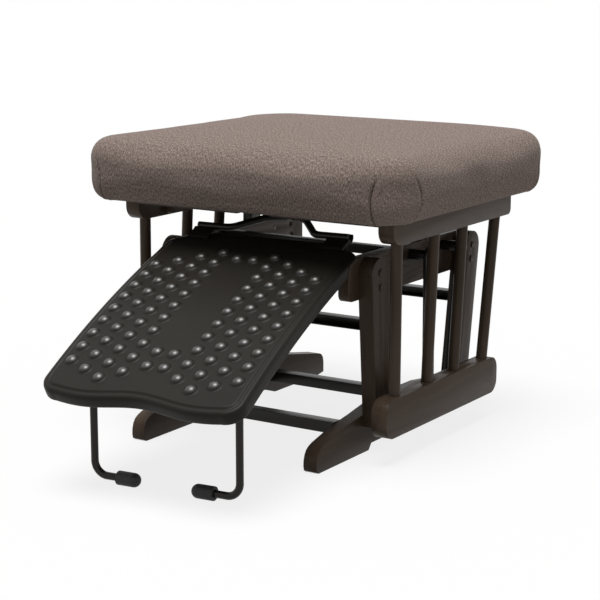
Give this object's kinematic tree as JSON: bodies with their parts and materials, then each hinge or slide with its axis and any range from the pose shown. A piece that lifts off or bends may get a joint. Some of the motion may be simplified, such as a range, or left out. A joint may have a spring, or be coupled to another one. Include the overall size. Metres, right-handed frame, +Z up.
{
  "type": "glider ottoman",
  "caption": "Padded glider ottoman on a dark wooden glide base, with a pull-out nursing foot rest: a studded moulded panel on hinged wire legs.",
  "frame": {"origin": "centre of the whole build's outer box at floor level, foot rest pulled out", "axes": "+X to the right seen from the foot rest side, +Y to the rear along the glide, +Z up"},
  "size_m": [0.5032, 0.714, 0.422],
  "materials": {
    "stained_wood": "satin espresso stain",
    "plywood": "raw birch plywood",
    "tweed_fabric": "heathered grey-brown weave",
    "black_steel": "satin black powder coat",
    "zinc_steel": "zinc plated",
    "black_plastic": "fine grained moulding",
    "black_rubber": "matt"
  },
  "bodies": {
    "base": {"left_foot": "stained_wood", "right_foot": "stained_wood", "left_board": "stained_wood", "right_board": "stained_wood", "left_front_post": "stained_wood", "right_front_post": "stained_wood", "left_rear_post": "stained_wood", "right_rear_post": "stained_wood", "front_floor_bar": "black_steel", "rear_floor_bar": "black_steel", "front_middle_bar": "black_steel", "rear_middle_bar": "black_steel", "tie_bar": "black_steel", "left_block": "black_steel", "right_block": "black_steel", "bridge": "black_steel", "stool_rail": "black_steel", "post_screws": "black_steel", "board_bolts": "black_steel", "board_spacers": "black_steel"},
    "front_arm_left": {"left_front_arm": "black_steel"},
    "front_arm_right": {"right_front_arm": "black_steel"},
    "rear_arm_left": {"left_rear_arm": "black_steel"},
    "rear_arm_right": {"right_rear_arm": "black_steel"},
    "seat": {"left_top_rail": "stained_wood", "right_top_rail": "stained_wood", "left_bottom_rail": "stained_wood", "right_bottom_rail": "stained_wood", "left_spindle_1": "stained_wood", "left_spindle_2": "stained_wood", "left_spindle_3": "stained_wood", "left_spindle_4": "stained_wood", "right_spindle_1": "stained_wood", "right_spindle_2": "stained_wood", "right_spindle_3": "stained_wood", "right_spindle_4": "stained_wood", "left_cleat": "stained_wood", "right_cleat": "stained_wood", "seat_deck": "plywood", "cushion": "tweed_fabric", "rail_bolts": "black_steel", "rail_spacers": "black_steel"},
    "carriage": {"stool_carriage": "zinc_steel", "pin_nut": "zinc_steel"},
    "hanger": {"hanger_hub": "black_steel", "hanger_wire": "black_steel"},
    "panel": {"stool_panel": "black_plastic", "panel_heel": "black_plastic", "panel_skirt": "black_plastic", "panel_ribs": "black_plastic", "leg_clips": "black_plastic"},
    "legs": {"leg_wire": "black_steel", "left_leg_tip": "black_rubber", "right_leg_tip": "black_rubber"}
  },
  "joints": [
    {"name": "glide", "type": "hinge", "parent": "base", "child": "front_arm_left", "pos_m": [-0.1755, 0.1198, 0.248], "axis": [1, 0, 0], "range_deg": [-7, 7]},
    {"name": "front_arm_right_swing", "type": "hinge", "parent": "base", "child": "front_arm_right", "pos_m": [0.1755, 0.1198, 0.248], "axis": [1, 0, 0], "range_deg": [-7.5, 7.5]},
    {"name": "rear_arm_left_swing", "type": "hinge", "parent": "base", "child": "rear_arm_left", "pos_m": [-0.1755, 0.2098, 0.248], "axis": [1, 0, 0], "range_deg": [-7.5, 7.5]},
    {"name": "rear_arm_right_swing", "type": "hinge", "parent": "base", "child": "rear_arm_right", "pos_m": [0.1755, 0.2098, 0.248], "axis": [1, 0, 0], "range_deg": [-7.5, 7.5]},
    {"name": "seat_on_arms", "type": "hinge", "parent": "front_arm_left", "child": "seat", "pos_m": [-0.1755, 0.1218, 0.062], "axis": [1, 0, 0], "range_deg": [-11, 11]},
    {"name": "stool_slide", "type": "slide", "parent": "base", "child": "carriage", "axis": [0, 1, 0], "range_m": [-0.04, 0]},
    {"name": "stool_swing", "type": "hinge", "parent": "carriage", "child": "hanger", "pos_m": [0, 0.0898, 0.29415], "axis": [0, 0, 1], "range_deg": [-11.8, 2.2]},
    {"name": "panel_tilt", "type": "hinge", "parent": "hanger", "child": "panel", "pos_m": [0.00812, -0.00686, 0.2843], "axis": [-0.9965, -0.0837, 0], "range_deg": [0, 22]},
    {"name": "leg_fold", "type": "hinge", "parent": "panel", "child": "legs", "pos_m": [0.03079, -0.27691, 0.157], "axis": [0.9965, 0.0837, 0], "range_deg": [0, 95]}
  ],
  "couplings": [
    {"joint": "front_arm_right_swing", "follows": "glide", "ratio": 1},
    {"joint": "rear_arm_left_swing", "follows": "glide", "ratio": 1},
    {"joint": "rear_arm_right_swing", "follows": "glide", "ratio": 1},
    {"joint": "seat_on_arms", "follows": "glide", "ratio": -1.5473}
  ]
}
